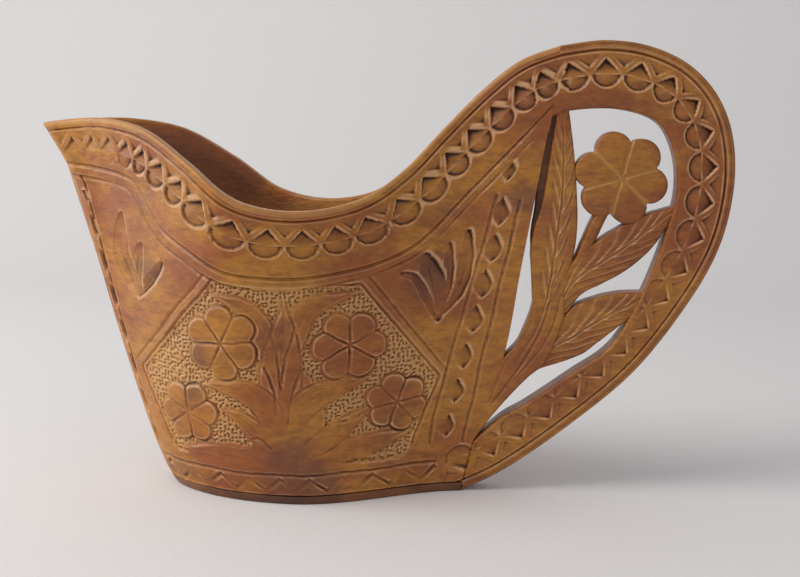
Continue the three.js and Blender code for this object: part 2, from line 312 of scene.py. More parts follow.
def pits(x, z, size, depth):
    """Ground worked with a punch: one short slanting stroke in each cell of a jittered grid."""
    best = np.full(np.shape(x), FAR)
    column, row = np.floor(x / size), np.floor(z / size)
    for dx in (-1, 0, 1):
        for dz in (-1, 0, 1):
            i, j = column + dx, row + dz
            one, two = scattered(i, j, SCATTER_ONE), scattered(i, j, SCATTER_TWO)
            turn = 0.2 + 2.6 * one * two
            ex, ez = x - (i + 0.2 + 0.6 * one) * size, z - (j + 0.2 + 0.6 * two) * size
            long_way = ex * np.cos(turn) + ez * np.sin(turn)
            short_way = ez * np.cos(turn) - ex * np.sin(turn)
            best = np.minimum(best, np.hypot(long_way / 0.62, short_way / 0.30) / size)
    return -depth * (1 - ease(best, 0.35, 0.95))


# The six-sided panel on each side, and what grows in it: the middle, radius and turn of each flower,
# the midrib and half width of each leaf, single strokes, and the middle and half sizes of the trunk
PANEL = [(-40.3, 57.2), (-62.7, 31.9), (-52.9, 11.1), (5.5, 9.3), (13.8, 30.6), (-5.5, 55.4), (-40.3, 57.2)]
PANEL_FLOWERS = [
    ((-38.3, 41.6), 9.6, 0.62), ((-8, 40.3), 9.0, 1.02),
    ((-48.2, 22.6), 8.4, 0.1), ((3.6, 24.8), 7.8, 0.72),
]
PANEL_LEAVES = [
    ([(-24, 16), (-27, 25), (-33, 29.8), (-42.8, 30.6)], 3.3),
    ([(-24, 14), (-29, 18.5), (-34, 22.6), (-38.4, 24.4)], 2.6),
    ([(-22, 12), (-30, 11.6), (-41, 12.6), (-50.6, 12.4)], 3.2),
    ([(-23, 16), (-20, 24), (-14, 29), (-3.5, 31.8)], 3.4),
    ([(-21, 13), (-14, 16), (-8, 21), (-2.5, 24.4)], 2.6),
    ([(-20, 11), (-13.7, 12.4), (-4.3, 14.6), (7, 17.0)], 3.0),
    ([(-24, 14), (-24.2, 24), (-23.8, 34), (-23, 51.6)], 5.2),
    ([(-24, 32), (-27.4, 43), (-32.0, 50.2), (-40, 53.6)], 3.0),
    ([(-24, 32), (-20.6, 44), (-16.8, 50.2), (-6.5, 53.6)], 3.0),
]
PANEL_STROKES = [
    [(-26.4, 44.3), (-24.6, 38.5), (-23.9, 30.3)], [(-20.6, 45.8), (-22.6, 38.5), (-23.6, 32)],
    [(-33.8, 15.4), (-29.5, 17.6), (-26.4, 15)], [(-18, 16.4), (-13, 20.6), (-8.6, 21.6)],
    [(-27.6, 36), (-25.6, 30), (-25.2, 24)], [(-19.4, 34), (-21.4, 28), (-22.4, 22)],
]
PANEL_TRUNK, PANEL_TRUNK_HALF = (-23.0, 21), (9.0, 15.5)
PIT_SIZE, PIT_DEPTH, GROUND_DEPTH = 1.05, 0.5, 0.42


def petal_gap(x, z, centre, radius, turn):
    """Distance out from a six-petalled flower's outline, and from the nearest line between two petals."""
    angle = np.arctan2(z - centre[1], x - centre[0]) - turn
    reach = np.hypot(x - centre[0], z - centre[1])
    turned = (angle / (np.pi / 3) + 0.5) % 1 - 0.5  # -0.5 to 0.5 over one petal
    swing = turned * np.pi / 3
    middle, lobe = 0.615 * radius, 0.385 * radius
    outline = middle * np.cos(swing) + np.sqrt(np.maximum(0, lobe**2 - (middle * np.sin(swing)) ** 2))
    return reach - outline, reach * np.sin(np.pi / 6 - np.abs(swing))


def panel_plants(x, z):
    """Distance out from the leaves, flowers and trunk of the panel, and the lines cut on them."""
    plants = np.full(np.shape(x), FAR)
    lines = np.zeros(np.shape(x))
    for points, width in PANEL_LEAVES:
        midrib = spline(points, 14)
        gap, _, place = along(x, z, midrib)
        share = place / run_length(midrib)[-1]
        half = width * np.clip(np.sin(np.pi * np.clip(share * 0.86 + 0.14, 0, 1)), 0.04, 1) ** 0.8
        outline = cut(np.abs(gap - half), 0.5, 0.42) * (plants > 0.1) * ease(share, 0.15, 0.4)
        lines = np.minimum.reduce([lines, outline, cut(gap, 0.5, 0.22) * ease(share, 0.3, 0.5)])
        plants = np.minimum(plants, gap - half)
    for centre, radius, turn in PANEL_FLOWERS:
        gap, seam = petal_gap(x, z, centre, radius, turn)
        lines = np.where(gap < 0.2, 0, lines)
        lines = np.minimum.reduce([lines, cut(np.abs(gap), 0.55, 0.75), cut(seam, 0.45, 0.5) * (gap < 0)])
        plants = np.minimum(plants, gap)
    for points in PANEL_STROKES:
        lines = np.minimum(lines, cut(along(x, z, spline(points, 8))[0], 0.55, 0.5))
    across, up = (x - PANEL_TRUNK[0]) / PANEL_TRUNK_HALF[0], (z - PANEL_TRUNK[1]) / PANEL_TRUNK_HALF[1]
    return np.minimum(plants, (np.hypot(across, up) - 1) * 7), lines


def panel(x, z):
    """Flowers and leaves left standing in a punched ground, inside a raised six-sided frame. Gives the
    height, and where the ground is worked and so looks fresh."""
    inside = along(x, z, np.array(PANEL, float))[1]  # the outline runs anticlockwise, so its left is inside
    plants, lines = panel_plants(x, z)
    above_foot = ease(z, 9.4, 10.6)
    ground = ease(plants, 0.0, 0.6) * ease(inside, 0.3, 0.9) * above_foot
    worked = -GROUND_DEPTH * ground + pits(x, z, PIT_SIZE, PIT_DEPTH) * ground
    frame_lines = cut(np.abs(inside), 0.55, 0.5) + cut(np.abs(inside + 2.4), 0.5, 0.35) * ease(z, 31, 35)
    motif = worked + lines * pressure(x, z) * ease(inside, 0.3, 0.8)
    return np.where(inside > 0, motif, 0) * above_foot + frame_lines * ease(z, 12.5, 14), ground


# Blades of the two fans, each from its tip to the common root, with its half width
FANS = [
    ([(-67.9, 70.4), (-68.4, 62), (-66.0, 55.6), (-63.0, 50.6)], 2.2),
    ([(-61.9, 63.4), (-63.4, 58), (-63.4, 54), (-62.8, 50.8)], 1.7),
    ([(-55.0, 59.6), (-58.4, 55.6), (-61.0, 52.6), (-62.4, 50.8)], 1.0),
    ([(10.2, 61.2), (11.4, 56.6), (12.4, 52), (13.0, 46.2)], 3.0),
    ([(15.7, 64.6), (15.8, 59.6), (15.6, 55), (14.2, 49)], 0.9),
    ([(20.2, 67.6), (20.0, 60), (18.2, 53.4), (13.6, 47)], 1.5),
    ([(4.4, 57.4), (7.2, 56.4), (9.4, 52.8), (12.2, 47)], 0.8),
]


def fans(x, z):
    """Fans of sunk blades that spring from one point in each corner field: each is cut deepest along its
    left edge and rises to a ridge towards its right."""
    height = np.zeros(np.shape(x))
    near = (z > 44) & (z < 75) & ((x < -50) | (x > 0))
    x, z = x[near], z[near]
    carved = np.zeros(x.shape)
    for points, half in FANS:
        line = spline(points, 12)
        gap, side, place = along(x, z, line)
        share = place / run_length(line)[-1]
        width = 0.3 + half * np.sin(np.pi * np.clip(share * 0.9 + 0.06, 0, 1)) ** 0.7
        across = np.clip(side / width, -1, 1)
        blade = -mix(0.95, 0.25, (1 - across) / 2) * (1 - ease(gap, width - 0.1, width + 0.35))
        carved = np.minimum(carved, blade + cut(gap, 0.45, 0.25) * (share > 0.2))
    height[near] = carved * pressure(x, z)
    return height


# The band beside the handle: its two lines, and the middle and size of each notch between them
BAND_LEFT = [(27.4, 77.5), (14.2, 26.5), (11.6, 12)]
BAND_RIGHT = [(33.2, 76), (24.3, 33.9), (20.2, 13)]
DROPS = [
    (30.0, 84.0, 0.8), (28.4, 73.3, 1), (26.6, 63.9, 1), (24.6, 54.8, 1), (22.2, 45.5, 1),
    (20.2, 36.0, 0.9), (18.1, 26.8, 0.9), (16.2, 17.6, 0.8),
]


def stern_band(x, z):
    """Upright band beside the handle: two lines with drop-shaped notches between them. A notch is steep
    on its right and slopes up to its left."""
    half_height, half_width, lean, depth = 3.7, 2.7, 0.12, 0.7
    height = np.zeros(np.shape(x))
    for line in (BAND_LEFT, BAND_RIGHT):
        height = np.minimum(height, cut(along(x, z, spline(line, 10))[0], 0.65, 0.42))
    for cx, cz, size in DROPS:
        up = (z - cz) / (half_height * size)
        half = half_width * size * np.maximum(0, 1 - np.abs(up) ** 1.6) * (1 - 0.25 * up)
        offset = x - cx - lean * (z - cz)
        inside = 1 - np.abs(offset) / np.maximum(half, 0.05)
        steep = np.where(offset > 0.3, ease(inside, 0, 0.4), np.clip((offset + half) / (half + 0.3), 0, 1))
        height = np.minimum(height, -depth * steep * (inside > 0) * (np.abs(up) < 1))
    return height


def prow_strip(x, z):
    """A line behind the prow's edge, and leaf-shaped notches on the edge's shoulder, evenly spaced in
    height. They are placed by the distance around the nose."""
    line_at, notch_at, pitch, first, half_length, half_width = 3.0, 4.3, 9.0, 8.5, 3.6, 1.3
    back = x - prow_x(z)
    nose_turn = np.arccos(np.clip(1 - back / NOSE_RADIUS, -1, 1))
    around = NOSE_RADIUS * nose_turn + np.maximum(back - NOSE_RADIUS, 0)
    near = ease(z, 8, 12) * (1 - ease(z, 79.5, 80.5))
    line = cut(np.abs(back - line_at), 0.5, 0.5) * near
    up = ((z - first) / pitch) % 1 - 0.5
    notch = np.hypot(np.abs(around - notch_at) / half_width, up * pitch / half_length)
    return line - (1 - ease(notch, 0.35, 1.0)) * near * (z < 76)


def foot_border(x, z):
    """Row of V cuts above the foot under one long line. A V is steep on one arm and slopes on the other."""
    pitch, steep_share, tip = 7.6, 0.42, 3.6
    lift = 8.4 - 0.6 * np.sin(np.pi * np.clip((x + 52) / 70, 0, 1))
    turn = ((x + 0.3 * z) / pitch) % 1
    middle = mix(lift - 1.2, tip, np.minimum(turn / steep_share, (1 - turn) / (1 - steep_share)))
    zigzag = cut(np.abs(z - middle) * 0.66, 0.6, 0.6) * pressure(2.1 * x, z) ** 2 * (z < lift)
    chips = -0.3 * ease(middle - z, 0.2, 2.2) * ease(z, 2.6, 3.2) * (z < lift)
    ends = ease(x - prow_x(z), 2.5, 4) * ease(14.5 - x, 0, 1.5)
    return (cut(np.abs(z - lift), 0.5, 0.45) + zigzag + chips) * ends


def lower_lines(x, z):
    """The double line under the border, with fine hatching between its lines towards the stern. It
    runs out before the handle's opening."""
    near = (z > 50) & (x < 43)
    height = np.zeros(x.shape)
    side, place = along(x[near], z[near], lower_curve)[1:]
    below = -side
    spread = mix(3.0, 2.3, ease(x[near], -50, 10))
    hatch = cut(np.abs((place / 0.9) % 1 - 0.5), 0.35, 0.16) * ease(x[near], 5, 12)
    between = (below > 0.3) & (below < spread - 0.3)
    upper_line = cut(np.abs(below - 0.15), 0.5, 0.5)
    lower_line = cut(np.abs(below - spread), 0.5, 0.4) * pressure(x[near], z[near])
    height[near] = (upper_line + lower_line + hatch * between) * (1 - ease(x[near], 34, 38))
    return height


def stern_border(x, z):
    """The handle's border where it runs out over the bowl's stern."""
    height = np.zeros(x.shape)
    near = (x > 13.5) & (z < 19)
    arc, depth = edge_coordinates(x[near], z[near])
    height[near] = border(arc, depth) * ease(x[near], 14.5, 16) * (1 - ease(depth, 11.9, 12.2))
    return height


def side_relief(x, z):
    """Everything carved on the skin of one side, and where the cuts are fresh."""
    x_line, z_line = x, z
    x, z = hand_led(x, z)
    below = -along(x, z, lower_curve[::2])[1]
    free = ease(below, 2.4, 3.2)
    part = (x > -66) & (x < 16) & (z < 62)
    motif, fresh = np.zeros(x.shape), np.zeros(x.shape)
    motif[part], fresh[part] = panel(x[part], z[part])
    field = motif + stern_band(x, z) * ease(z, 12.5, 13.5) + fans(x, z)
    edges = lower_lines(x_line, z_line) + prow_strip(x_line, z_line) + stern_border(x_line, z_line)
    return free * field + edges + foot_border(x, z), fresh


def edge_coordinates(x, z):
    """How far along the outer edge a place is, true length, and how far in from it."""
    _, side, place = along(x, z, silhouette)
    return np.interp(place, silhouette_run, silhouette_arc), -side


# ---------- meshes ----------

def softened(grid, times):
    """A grid of values averaged with its neighbours, both ways."""
    for _ in range(times):
        grid = np.pad(grid, 1, mode="edge")
        grid = (grid[:-2] + 2 * grid[1:-1] + grid[2:]) / 4
        grid = (grid[:, :-2] + 2 * grid[:, 1:-1] + grid[:, 2:]) / 4
    return grid


def shell(name, front, back, height=None, fresh=None, inside=None, round_trip=False, sharp=38):
    """Closed body from two grids of points, stations by rows, in millimetres; the back may have fewer
    rows. Each station's loop runs up the front and down the back. The ends are closed by rungs from
    front to back, or the last station joins the first. The finish reads the front's carved height, its
    creases, which give dirt with painted shade and rubbing with a painted highlight, where the cut wood is
    fresh and pale, partly a painted highlight, and what lies inside the hollow."""
    stations, rows = front.shape[:2]
    loop = np.concatenate([front, back[:, ::-1]], axis=1)
    count = loop.shape[1]
    index = np.arange(stations * count).reshape(stations, count)
    along_next = np.roll(index, -1, axis=0) if round_trip else index[1:]
    along_here = index if round_trip else index[:-1]
    faces = np.stack([
        along_here, np.roll(along_here, -1, 1), np.roll(along_next, -1, 1), along_next,
    ], -1).reshape(-1, 4)
    if not round_trip:
        match = np.rint(np.linspace(0, back.shape[1] - 1, rows)).astype(int)
        for end, order in ((index[0], 1), (index[-1], -1)):
            up, down = end[:rows], end[rows:][::-1][match]
            rungs = np.stack([up[:-1], down[:-1], down[1:], up[1:]], -1)
            faces = np.vstack([faces, rungs[:, ::order]])
    points = loop.reshape(-1, 3)
    corners = points[faces]
    volume = np.einsum("ij,ij->i", corners[:, 0], np.cross(corners[:, 1], corners[:, 2])).sum()
    volume += np.einsum("ij,ij->i", corners[:, 0], np.cross(corners[:, 2], corners[:, 3])).sum()
    if volume < 0:
        faces = faces[:, ::-1]
    mesh = bpy.data.meshes.new(name)
    placed = points * MM + np.array([PLACE_X, 0, 0])
    mesh.from_pydata(placed, [], [list(dict.fromkeys(face)) for face in faces.tolist()])
    two_faced = back.shape == front.shape and np.allclose(back[..., 1], -front[..., 1])
    height = np.zeros((stations, rows)) if height is None else height
    crease = softened(height, 4) - height
    for label, grid in (("cut_depth", -height), ("crease", crease), ("fresh", fresh), ("inside", inside)):
        values = np.zeros((stations, count))
        if grid is not None:
            values[:, :rows] = grid
            values[:, rows:] = grid[:, ::-1] if two_faced else 0
        layer = mesh.attributes.new(label, "FLOAT", "POINT")
        layer.data.foreach_set("value", values.ravel().astype(np.float32))
    bm = bmesh.new()
    bm.from_mesh(mesh)
    bmesh.ops.remove_doubles(bm, verts=bm.verts, dist=2e-6)
    bmesh.ops.dissolve_degenerate(bm, edges=bm.edges, dist=1e-7)
    loose = [edge for edge in bm.edges if not edge.link_faces]
    bmesh.ops.delete(bm, geom=loose, context="EDGES")
    bm.to_mesh(mesh)
    bm.free()
    mesh.shade_smooth()
    mesh.set_sharp_from_angle(angle=math.radians(sharp))
    piece = bpy.data.objects.new(name, mesh)
    bpy.context.collection.objects.link(piece)
    return piece


def mirrored(half):
    """The same grid on the far side."""
    return half * np.array([1, -1, 1])


def outward(points):
    """Unit normals of a grid, turned away from the hull's middle plane and axis."""
    normal = np.cross(np.gradient(points, axis=0), np.gradient(points, axis=1))
    away = points - np.array([BEAM_FOOT_X, 0, 0])
    away[..., 2] = 0
    away[..., 0] = np.where(points[..., 0] < BEAM_RIM_X, away[..., 0], 0)
    flip = np.sign(np.einsum("ijk,ijk->ij", normal, away))[..., None]
    normal = normal * np.where(flip == 0, 1, flip)
    return normal / np.maximum(np.linalg.norm(normal, axis=-1, keepdims=True), 1e-9)


def hull_grid(shares, heights):
    """Near side of the hull: one rib for each share, with its own row of heights."""
    x = rib_x(shares[:, None], heights)
    return np.stack([x, -hull_half(x, heights), heights], -1)


def raised(points, height):
    """A near-side grid moved along its normals by the carving. The prow's line keeps to the middle
    plane."""
    height = height * ease(points[..., 0] - prow_x(points[..., 2]), 0.02, 0.7)
    normal = outward(points)
    normal[0, :, 1] = 0
    normal[0] /= np.maximum(np.linalg.norm(normal[0], axis=-1, keepdims=True), 1e-9)
    return points + normal * height[..., None]


def rows_between(low, high, shares):
    """Rows that share out the way from each rib's low value to its high one."""
    return low[:, None] + (high - low)[:, None] * np.asarray(shares)


def drawn_in(column, shares):
    """One column of points repeated on its way to the middle plane, its y times each share."""
    return column * np.array([1, 0, 1]) + column * np.array([0, 1, 0]) * np.asarray(shares)[:, None]


# ---------- the bowl ----------

LIP_TURN = np.linspace(0, np.pi / 2, 6)[1:]
FLOOR_TRIALS = 200


def bowl_inlay(shares, split):
    """Plain wall behind the carved skins: the hull's surface sunk by their depth, clear of the handle."""
    bottom = np.full(shares.shape, FOOT_HEIGHT + GAP)
    rows = rows_between(bottom, split - 0.25, np.linspace(0, 1, 4))
    wall = raised(hull_grid(shares, rows), np.full(rows.shape, -SKIN))
    wall[0, :, 1] = 0
    wall[..., 0] = np.minimum(wall[..., 0], stern_x(rows) - GAP)
    return wall


def bowl_band(shares, split, top):
    """Band under the rim: the hull's surface raised by the border. Gives that height too."""
    rows = rows_between(split, top - LIP_OUT, np.linspace(0, 1, 72))
    band = hull_grid(shares, rows)
    arc, depth = edge_coordinates(band[..., 0], rows)
    height = border(arc, depth) + cut(np.abs(rows - split[:, None]), 0.5, 0.45)
    return raised(band, height), height


def bowl_lip(shares, top):
    """Quarter circle from the side on to the rim: z rises by its sine as the half width falls by its
    cosine."""
    z = top[:, None] - LIP_OUT * (1 - np.sin(LIP_TURN))
    x = rib_x(shares[:, None], z)
    half = np.maximum(hull_half(x, z) - LIP_OUT * (1 - np.cos(LIP_TURN)), 0)
    return np.stack([x, -half, z], -1)


def hollow_floor(shares, top):
    """Lowest open place of the hollow on each rib, found in even steps down from the rim."""
    start = top - LIP_IN
    trial = rows_between(start, np.full(top.shape, CAVITY_FLOOR), np.linspace(0, 1, FLOOR_TRIALS))
    clear = cavity_half(rib_x(shares[:, None], trial), trial) > 0.02
    steps = np.clip(np.cumprod(clear, axis=1).sum(axis=1) - 1, 0, FLOOR_TRIALS - 1)
    return start - (start - CAVITY_FLOOR) * steps / (FLOOR_TRIALS - 1)


def bowl_hollow(shares, top, lip_half):
    """Flat crest of the rim, the quarter ellipse that folds in from it, and the hollow's wall. Where
    a rib lies past the hollow, all three stay on the crest. Gives which ribs are open too."""
    top_x = rib_x(shares, top)
    inner = cavity_half(top_x, top)
    inner = np.where(inner < 0.3, 0, inner)
    open_here = inner > 0
    soft = np.minimum(LIP_IN, inner)
    start = np.minimum(inner + soft, lip_half)
    crest_y = rows_between(lip_half, start, np.linspace(0, 1, 5)[1:])
    crest = np.stack([np.repeat(top_x[:, None], 4, 1), -crest_y, np.repeat(top[:, None], 4, 1)], -1)
    fold_z = top[:, None] - soft[:, None] * (1 - np.cos(LIP_TURN))
    fold_y = inner[:, None] + (start - inner)[:, None] * (1 - np.sin(LIP_TURN))
    fold_x = np.where(open_here[:, None], rib_x(shares[:, None], fold_z), top_x[:, None])
    fold = np.stack([fold_x, -fold_y, fold_z], -1)
    floor = np.where(open_here, hollow_floor(shares, top), top)
    wall_z = rows_between(np.where(open_here, top - soft, top), floor, np.linspace(0, 1, 14)[1:])
    wall_x = np.where(open_here[:, None], rib_x(shares[:, None], wall_z), top_x[:, None])
    wall_half = np.where(open_here[:, None], cavity_half(wall_x, wall_z), 0)
    return crest, fold, np.stack([wall_x, -wall_half, wall_z], -1), open_here


def bowl_core():
    """Cup of the bowl: its rim with the border, the crest towards the handle, the hollow, and a plain
    wall let in behind the carved skins. Each rib's half section runs from the middle of the underside,
    up the outside, over the rim, down the hollow and to the middle of its floor."""
    shares = rib_shares(440, z=75.0)
    top, split = rib_height(shares, rim_z), rib_height(shares, split_z)
    inlay = bowl_inlay(shares, split)
    sole = drawn_in(inlay[:, :1], [0, 0.6])
    band, height = bowl_band(shares, split, top)
    lip = bowl_lip(shares, top)
    crest, fold, wall, open_here = bowl_hollow(shares, top, -lip[:, -1, 1])
    pan = drawn_in(wall[:, -1:], np.linspace(0.75, 0, 4))
    half = np.concatenate([sole, inlay, band, lip, crest, fold, wall, pan], axis=1)
    half[..., 1] = np.minimum(half[..., 1], 0)
    relief, lip_wear_and_highlight, inside = np.zeros((3, *half.shape[:2]))
    first = sole.shape[1] + inlay.shape[1]
    last = first + band.shape[1]
    relief[:, first:last] = height
    # A pale band over the lip and crest, painted as fresh wood: partly wear, partly a painted highlight
    # along the rim's top.
    lip_wear_and_highlight[:, last - 2:last + 9] = 0.9
    inside[:, -(wall.shape[1] + pan.shape[1]):] = open_here[:, None]
    return shell("bowl", half, mirrored(half), relief, lip_wear_and_highlight, inside)


def carved_side(name, far=False):
    """Carved skin of one side, from the foot to the double line and from the prow to the stern. Its back
    is the plain hull, sunk a little past the bowl's wall."""
    shares = rib_shares(400, z=45.0)
    bottom = np.full(shares.shape, FOOT_HEIGHT + GAP)
    rows = rows_between(bottom, rib_height(shares, split_z), np.linspace(0, 1, 215))
    base = hull_grid(shares, rows)
    height, fresh = side_relief(base[..., 0], rows)
    front = raised(base, height)
    plain = base[:, np.linspace(0, rows.shape[1] - 1, 12).astype(int)]
    back = raised(plain, np.full(plain.shape[:2], -SKIN - 0.4))
    back[..., 1] = np.minimum(back[..., 1], 0)
    if far:
        front, back = mirrored(front), mirrored(back)
    return shell(name, front, back, height, fresh)


def foot_plate():
    """The foot: the hull's own outline in a thin plate whose edges are quarter circles."""
    shares = rib_shares(240, z=5.0)
    edge_radius = 0.45
    turn = np.linspace(0, np.pi / 2, 5)
    z = np.r_[edge_radius * (1 - np.cos(turn)), FOOT_HEIGHT - edge_radius * (1 - np.sin(turn))]
    inset = np.r_[edge_radius * (1 - np.sin(turn)), edge_radius * (1 - np.cos(turn))]
    edge = hull_grid(shares, np.repeat(z[None], shares.size, 0))
    edge[..., 1] = np.minimum(edge[..., 1] + inset, 0)
    flat = np.linspace(0, 0.96, 6)
    half = np.concatenate([drawn_in(edge[:, :1], flat), edge, drawn_in(edge[:, -1:], flat[::-1])], axis=1)
    return shell("base_plate", half, mirrored(half))


# ---------- the handle ----------

def rounding(edge_distance, radius):
    """How far a face drops towards an edge rounded to the radius."""
    e = np.clip(edge_distance, 0, radius)
    return radius - np.sqrt(np.maximum(0, radius**2 - (radius - e) ** 2))


def slab_body(name, one_edge, other_edge, half, carve, radius, rows, dome=0.0, pale=0.0, tuck=0.0):
    """Flat pierced body between two side-view edges that share their stations. The near face runs from
    one edge to the other, and the far face mirrors it. Its distance from the middle plane is half, less a
    dome's fall towards the edges and their rounding, plus the carving. pale is how pale its deeper cuts are
    painted, as fresh wood and partly a painted highlight, and tuck thins its two ends, where they run into
    another piece."""
    width = np.linalg.norm(other_edge - one_edge, axis=1)[:, None]
    corner_steps = np.array([0, 0.03, 0.12, 0.3, 0.6, 1.0]) * radius
    reach = np.minimum(radius, width * 0.45)
    start = corner_steps / radius * reach
    middle = reach + (width - 2 * reach) * np.linspace(0, 1, rows)[1:-1]
    offset = np.concatenate([start, middle, width - start[:, ::-1]], axis=1)
    share = offset / np.maximum(width, 1e-6)
    flat = one_edge[:, None] + (other_edge - one_edge)[:, None] * share[..., None]
    to_edge = np.minimum(offset, width - offset)
    height = carve(flat[..., 0], flat[..., 1], share, width)
    swell = dome * (1 - (2 * share - 1) ** 2)
    depth = half - dome + swell + height - rounding(to_edge, radius)
    depth[[0, -1]] -= tuck
    depth = np.maximum(depth, 0.3 * half)
    face = np.stack([flat[..., 0], -depth, flat[..., 1]], -1)
    grid = np.concatenate([drawn_in(face[:, :1], [0]), face, drawn_in(face[:, -1:], [0])], axis=1)
    relief = np.pad(height, ((0, 0), (1, 1)))
    return shell(name, grid, mirrored(grid), relief, pale * ease(-relief, 0.2, 0.5))


def uncarved(x, z, share, width):
    """A face left smooth."""
    return np.zeros(x.shape)


def matched_inside(outer, inner):
    """Inner edge's stations: the place nearest each outer station, evened out by a running mean, and held
    back near the ends so that both ends meet."""
    steepest, window = 1.5, 41
    run, total = run_length(outer), run_length(inner)[-1]
    nearest = along(outer[:, 0], outer[:, 1], inner)[2]
    nearest = np.minimum(nearest, steepest * run)
    nearest = np.maximum(nearest, total - steepest * (run[-1] - run))
    place = np.maximum.accumulate(nearest)
    kernel = np.hanning(window) / np.hanning(window).sum()
    padded = np.pad(place, window // 2, mode="reflect", reflect_type="odd")
    smooth = np.convolve(padded, kernel, mode="valid")
    return np.stack([np.interp(smooth, run_length(inner), inner[:, k]) for k in (0, 1)], -1)


def handle_loop():
    """The loop: a flat ring with the border along its outer edge; each end runs a little into the bowl."""
    outer = walk(outside_curve, 520)
    inner = matched_inside(outer, walk(inside_curve, 600))
    outer_ends, inner_ends = ((40.5, 112.8), (18.5, 0.4)), ((39.2, 96.8), (21.6, 13.2))
    outer = np.vstack([outer_ends[0], outer, outer_ends[1]])
    inner = np.vstack([inner_ends[0], inner, inner_ends[1]])

    def carve(x, z, share, width):
        """The border, held off the inner edge, and a fine line near the outer one."""
        arc, depth = edge_coordinates(x, z)
        plain = ease(width - depth, 0.6, 1.6)
        edge = cut(np.abs(depth - 0.9), 0.3, 0.2)
        return border(arc, depth) * plain + edge

    return slab_body("handle_loop", inner, outer, SLAB_HALF, carve, 0.9, 50, tuck=1.5)


def leaf_body(name, left, right, half, vein_pitch, lean, vein_depth=0.4, midrib=0.5, reach=9.0):
    """A leaf between its left and right edges, base to tip, with a sunk midrib and shingled side veins
    that sweep up towards the tip and end at the reach. Each vein is a saw tooth of the way up the leaf,
    held back by the lean as it leaves the midrib."""
    left_edge, right_edge = walk(spline(left, 60), 170), walk(spline(right, 60), 170)
    run = run_length((left_edge + right_edge) / 2)

    def carve(x, z, share, width):
        """Side veins on both sides of the midrib, and the midrib's cut."""
        across = (share - midrib) * width
        travel = run[:, None] - lean * np.abs(across) - 0.12 * across**2
        phase = (travel / vein_pitch + 0.35 * np.sin(0.9 * across + 0.7)) % 1
        slope = phase**1.6 * (1 - ease(phase, 0.8, 1.0))
        vein = -vein_depth * slope * ease(np.abs(across), 0.2, 0.8) * ease(width, 2.0, 5.0)
        vein = vein * (1 - ease(np.abs(across), reach - 1, reach))
        return vein + cut(np.abs(across), 0.42, 0.5) * ease(width, 1.2, 2.5)

    # Pale midribs and veins: fresh wood, partly a painted highlight in the cuts.
    return slab_body(name, left_edge, right_edge, half, carve, 0.6, 36, 0.4, pale=1.6)


def tall_leaf():
    """Upright leaf beside the stern slot."""
    left = [
        (37.4, 46), (36.6, 57.6), (36.2, 63), (36.8, 68.7), (38.4, 74.3), (39.4, 79.6), (40.2, 86),
        (41.6, 98.4),
    ]
    right = [(41.8, 46), (44.6, 54), (47.1, 62.4), (47.8, 69.5), (47.5, 77), (46.4, 88), (44.7, 99)]
    return leaf_body("tall_leaf", left, right, SLAB_HALF - 0.2, 5.8, 1.6, 0.6, midrib=0.56, reach=3.1)


def middle_leaf():
    """Leaf that reaches the loop half way up."""
    left = [(41.0, 51), (46.8, 60.8), (52.4, 65.8), (57.5, 69.3), (63.8, 72.8), (72.6, 75.6)]
    right = [
        (41.6, 46.4), (45.8, 47.6), (47.5, 50.0), (50.2, 53.0), (54.6, 55.3), (61.2, 59.4), (67.4, 65.6),
        (72.6, 74.6),
    ]
    return leaf_body("middle_leaf", left, right, SLAB_HALF - 0.4, 5.6, 1.6)


def lower_leaf():
    """Leaf that runs into the loop lower down."""
    left = [
        (38.0, 39), (42.5, 45.0), (45.8, 47.5), (48.2, 49.7), (51.6, 51.1), (55.6, 52.4), (60, 53.2),
        (65.4, 53.4),
    ]
    right = [
        (37.2, 31.4), (40.4, 33.1), (46, 35.1), (50.4, 37.1), (54.1, 40.1), (58.5, 43.8), (62.8, 47.5),
        (66, 52.4),
    ]
    return leaf_body("lower_leaf", left, right, SLAB_HALF - 0.4, 5.6, 1.6, midrib=0.55)


# Long cuts on the trunk, each with its half width and depth
TRUNK_LINES = [
    ([(42.1, 58.5), (41.4, 50.5), (39.6, 43.6), (36.8, 37.6), (32.6, 30.6), (27.6, 23.6)], 0.55, 0.4),
    ([(41.2, 57.5), (40.5, 50.6), (38.6, 44), (35.8, 38.6), (33.2, 34.6)], 0.45, 0.25),
    ([(44.2, 52.5), (42.8, 45), (39.8, 38.6), (36.2, 33.8), (31, 27.6)], 0.5, 0.3),
    ([(37.6, 50.4), (36.9, 45), (34.2, 39.4), (30.2, 33.4), (26.8, 24)], 0.5, 0.22),
]


def leaf_trunk():
    """The stalk that the leaves grow from. It runs down into the bowl's stern, sinks into the leaves at its
    tip, and carries long flowing cuts."""
    left = [
        (21.4, 12.6), (24.8, 25), (28.2, 33.8), (30.6, 36.1), (33.4, 39.3), (35.0, 42.9), (36.5, 47),
        (38.0, 53), (41.8, 61.5),
    ]
    right = [
        (23.2, 13.8), (27.6, 20.1), (32.3, 25.9), (36.6, 30.6), (40.8, 34.6), (43.6, 41), (45.4, 48),
        (45.0, 55), (42.4, 61.5),
    ]
    left_edge, right_edge = walk(spline(left, 80), 170), walk(spline(right, 80), 170)

    def carve(x, z, share, width):
        """The long cuts, and the tip sunk into the leaves."""
        lines = [cut(along(x, z, spline(points, 16))[0], wide, deep) for points, wide, deep in TRUNK_LINES]
        sink = -1.1 * ease(z, 46, 61)
        return np.minimum.reduce(lines) * ease(61 - z, 0, 6) + sink

    return slab_body("leaf_trunk", left_edge, right_edge, SLAB_HALF - 0.03, carve, 0.7, 44)


def flower_stem():
    """The flower's stalk, round-backed."""
    left = walk(spline([(45.4, 57.5), (47.5, 62.2), (49.1, 66.4), (51.4, 72.0), (54.2, 77)], 40), 60)
    right = walk(spline([(49.4, 60), (52.4, 65.8), (54.2, 70.0), (55.6, 73), (57.8, 77)], 40), 60)
    return slab_body("flower_stem", left, right, SLAB_HALF - 0.7, uncarved, 1.4, 14, 0.2)


